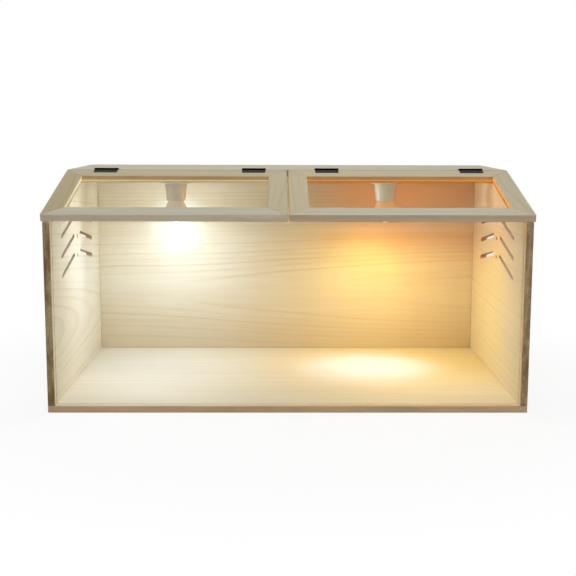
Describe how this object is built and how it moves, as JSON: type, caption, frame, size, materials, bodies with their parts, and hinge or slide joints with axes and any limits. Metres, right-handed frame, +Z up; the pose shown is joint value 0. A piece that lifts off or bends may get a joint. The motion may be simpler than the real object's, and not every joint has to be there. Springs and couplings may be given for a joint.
{
  "type": "brooder box",
  "caption": "Slant-topped wooden brooder box with a clear front, two hinged glazed lids, slotted side vents and reflector lamps hanging under the rear top board.",
  "frame": {"origin": "on the ground under the middle of the whole box", "axes": "+X to the right seen from the front, along the box's length; +Y to the back; +Z up"},
  "size_m": [1.008, 0.615, 0.4957],
  "materials": {
    "pale_wood": "unfinished, sanded",
    "lid_wood": "unfinished, sanded",
    "clear_acrylic": "clear, polished",
    "black_steel": "satin black",
    "zinc_steel": "zinc plated",
    "white_moulding": "glossy white",
    "brass": "bare",
    "bulb_cap_metal": "rolled",
    "cool_bulb_glass": "frosted, lit cool white",
    "warm_bulb_glass": "frosted, lit warm"
  },
  "bodies": {
    "root": {"floor_board": "pale_wood", "side_panel_left": "pale_wood", "side_panel_right": "pale_wood", "back_panel": "pale_wood", "top_board": "lid_wood", "front_pane": "clear_acrylic", "floor_screw_left_front": "zinc_steel", "floor_screw_left_back": "zinc_steel", "floor_screw_right_front": "zinc_steel", "floor_screw_right_back": "zinc_steel", "left_lid_outer_hinge_fixed_leaf": "black_steel", "left_lid_outer_hinge_pin": "black_steel", "left_lid_outer_hinge_board_screw_1": "black_steel", "left_lid_outer_hinge_board_screw_2": "black_steel", "left_lid_inner_hinge_fixed_leaf": "black_steel", "left_lid_inner_hinge_pin": "black_steel", "left_lid_inner_hinge_board_screw_1": "black_steel", "left_lid_inner_hinge_board_screw_2": "black_steel", "right_lid_outer_hinge_fixed_leaf": "black_steel", "right_lid_outer_hinge_pin": "black_steel", "right_lid_outer_hinge_board_screw_1": "black_steel", "right_lid_outer_hinge_board_screw_2": "black_steel", "right_lid_inner_hinge_fixed_leaf": "black_steel", "right_lid_inner_hinge_pin": "black_steel", "right_lid_inner_hinge_board_screw_1": "black_steel", "right_lid_inner_hinge_board_screw_2": "black_steel", "left_lamp_base": "white_moulding", "left_lamp_socket_cup": "white_moulding", "left_lamp_screw_shell": "brass", "left_lamp_centre_contact": "brass", "right_lamp_base": "white_moulding", "right_lamp_socket_cup": "white_moulding", "right_lamp_screw_shell": "brass", "right_lamp_centre_contact": "brass"},
    "left_lid": {"left_lid_front_rail": "lid_wood", "left_lid_back_rail": "lid_wood", "left_lid_outer_stile": "lid_wood", "left_lid_inner_stile": "lid_wood", "left_lid_pane": "clear_acrylic", "left_lid_outer_hinge_lid_leaf": "black_steel", "left_lid_outer_hinge_lid_screw_1": "black_steel", "left_lid_outer_hinge_lid_screw_2": "black_steel", "left_lid_inner_hinge_lid_leaf": "black_steel", "left_lid_inner_hinge_lid_screw_1": "black_steel", "left_lid_inner_hinge_lid_screw_2": "black_steel"},
    "right_lid": {"right_lid_front_rail": "lid_wood", "right_lid_back_rail": "lid_wood", "right_lid_outer_stile": "lid_wood", "right_lid_inner_stile": "lid_wood", "right_lid_pane": "clear_acrylic", "right_lid_outer_hinge_lid_leaf": "black_steel", "right_lid_outer_hinge_lid_screw_1": "black_steel", "right_lid_outer_hinge_lid_screw_2": "black_steel", "right_lid_inner_hinge_lid_leaf": "black_steel", "right_lid_inner_hinge_lid_screw_1": "black_steel", "right_lid_inner_hinge_lid_screw_2": "black_steel"},
    "left_bulb": {"left_bulb_cap": "bulb_cap_metal", "left_bulb_glass": "cool_bulb_glass"},
    "right_bulb": {"right_bulb_cap": "bulb_cap_metal", "right_bulb_glass": "warm_bulb_glass"}
  },
  "joints": [
    {"name": "left_lid_hinge", "type": "hinge", "parent": "root", "child": "left_lid", "pos_m": [-0.253, -0.0097, 0.4935], "axis": [-1, 0, 0], "range_deg": [0, 190]},
    {"name": "right_lid_hinge", "type": "hinge", "parent": "root", "child": "right_lid", "pos_m": [0.253, -0.0097, 0.4935], "axis": [-1, 0, 0], "range_deg": [0, 190]},
    {"name": "left_bulb_turn", "type": "hinge", "parent": "root", "child": "left_bulb", "pos_m": [-0.2655, 0.0825, 0.43], "axis": [0, 0, 1], "continuous": true},
    {"name": "right_bulb_turn", "type": "hinge", "parent": "root", "child": "right_bulb", "pos_m": [0.2345, 0.0825, 0.43], "axis": [0, 0, 1], "continuous": true}
  ]
}
